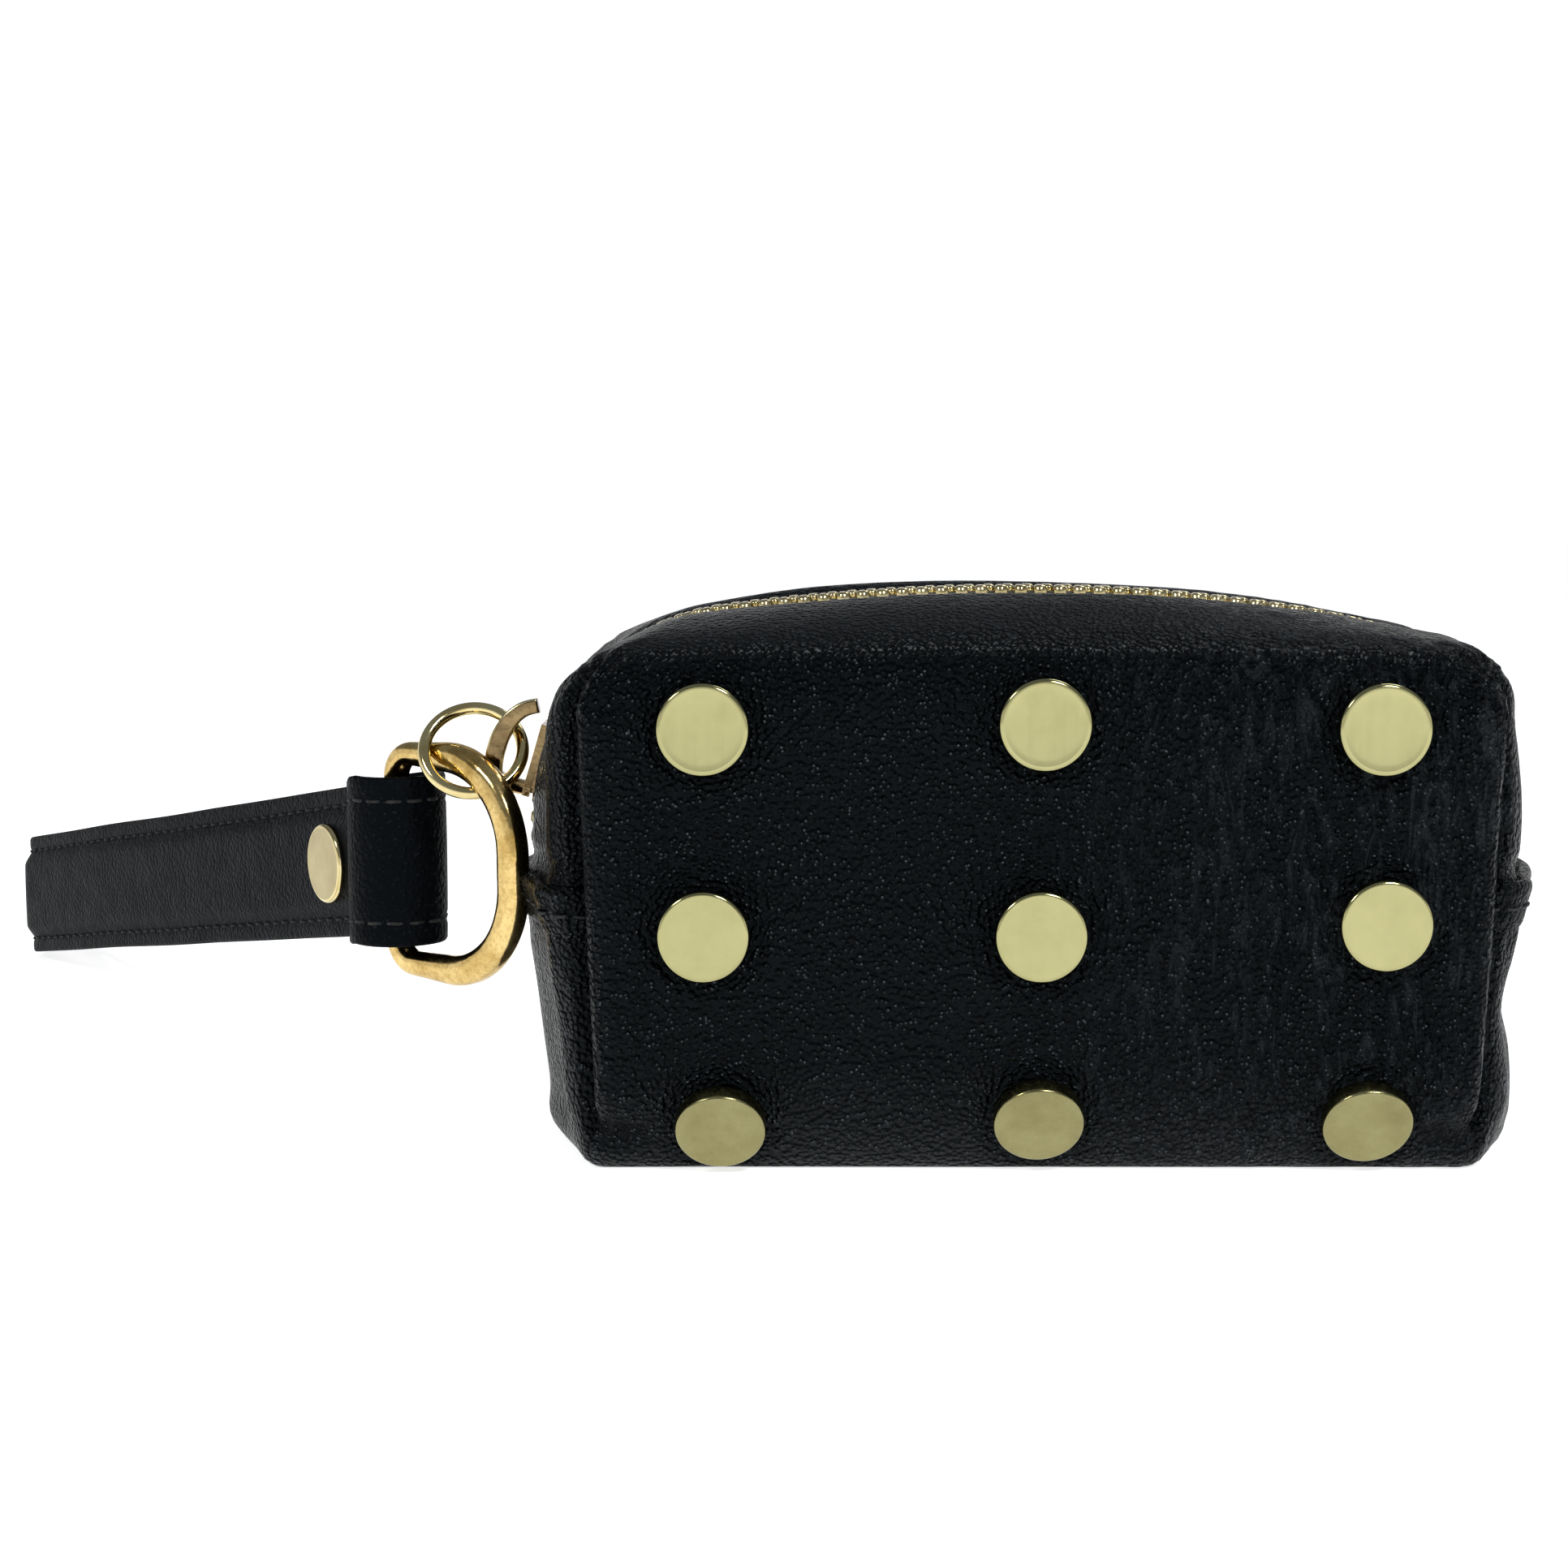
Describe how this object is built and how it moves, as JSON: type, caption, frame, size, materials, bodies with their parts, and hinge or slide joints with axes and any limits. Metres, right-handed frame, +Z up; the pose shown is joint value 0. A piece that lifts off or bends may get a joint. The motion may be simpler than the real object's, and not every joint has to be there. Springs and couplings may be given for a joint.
{
  "type": "makeup bag",
  "caption": "Boxy zip makeup pouch in black leather with flat gold studs on the front and a detachable looped wrist strap on a D-ring.",
  "frame": {"origin": "centre of the flat bottom face that the bag stands on", "axes": "+Z up, +X along the bag's length towards the end without the strap, -Y is the studded front"},
  "size_m": [0.2395, 0.1639, 0.074],
  "materials": {
    "bag_leather": "pebble grain, satin",
    "strap_leather": "smooth, satin",
    "stiffener_board": "matt felt board",
    "lining_cloth": "matt twill",
    "zip_tape_cloth": "matt woven tape",
    "zip_metal": "polished pale gold",
    "stud_metal": "finely brushed pale gold",
    "ring_metal": "polished pale gold",
    "cast_metal": "tumbled warm gold"
  },
  "bodies": {
    "root": {"front_panel": "bag_leather", "back_panel": "bag_leather", "left_lower_gusset": "bag_leather", "right_lower_gusset": "bag_leather", "left_upper_gusset": "bag_leather", "right_upper_gusset": "bag_leather", "left_seam_hem": "bag_leather", "right_seam_hem": "bag_leather", "front_stiffener": "stiffener_board", "back_stiffener": "stiffener_board", "base_board": "stiffener_board", "front_lining": "lining_cloth", "back_lining": "lining_cloth", "left_zip_tape": "zip_tape_cloth", "right_zip_tape": "zip_tape_cloth", "left_zip_teeth": "zip_metal", "right_zip_teeth": "zip_metal", "zip_end_stops": "zip_metal", "front_studs": "stud_metal", "stud_nuts": "stud_metal"},
    "front_flap": {"front_top_flap": "bag_leather", "front_flap_lining": "lining_cloth", "front_zip_tape": "zip_tape_cloth", "front_zip_teeth": "zip_metal"},
    "back_flap": {"back_top_flap": "bag_leather", "back_flap_lining": "lining_cloth", "back_zip_tape": "zip_tape_cloth", "back_zip_teeth": "zip_metal"},
    "zip_slider": {"slider_body": "zip_metal", "slider_crown": "zip_metal"},
    "jump_ring": {"jump_ring": "ring_metal"},
    "d_ring": {"d_ring": "cast_metal"},
    "wrist_strap": {"strap_outer_leather": "strap_leather", "strap_inner_leather": "strap_leather", "strap_padding": "stiffener_board", "strap_fold": "strap_leather", "strap_fold_core": "stiffener_board", "strap_rivet": "stud_metal", "strap_rivet_cap": "stud_metal"}
  },
  "joints": [
    {"name": "zip_slider_run", "type": "hinge", "parent": "root", "child": "zip_slider", "pos_m": [-0.0365, 0, 0.04203], "axis": [0, 1, 0], "range_deg": [0, 65]},
    {"name": "front_flap_hinge", "type": "hinge", "parent": "root", "child": "front_flap", "pos_m": [0, -0.0262, 0.0672], "axis": [1, 0, 0], "range_deg": [0, 65]},
    {"name": "back_flap_hinge", "type": "hinge", "parent": "root", "child": "back_flap", "pos_m": [0, 0.0262, 0.0672], "axis": [-1, 0, 0], "range_deg": [0, 65]},
    {"name": "jump_ring_swing", "type": "hinge", "parent": "zip_slider", "child": "jump_ring", "pos_m": [-0.06726, 0, 0.05103], "axis": [0, 1, 0], "range_deg": [0, 33]},
    {"name": "d_ring_swing", "type": "hinge", "parent": "jump_ring", "child": "d_ring", "pos_m": [-0.0855, 0.0076, 0.0506], "axis": [-0.7547, 0.6561, 0], "range_deg": [0, 40]},
    {"name": "strap_swing", "type": "hinge", "parent": "d_ring", "child": "wrist_strap", "pos_m": [-0.0855, 0.0076, 0.036], "axis": [0, 0, 1], "range_deg": [-30, 80]}
  ]
}
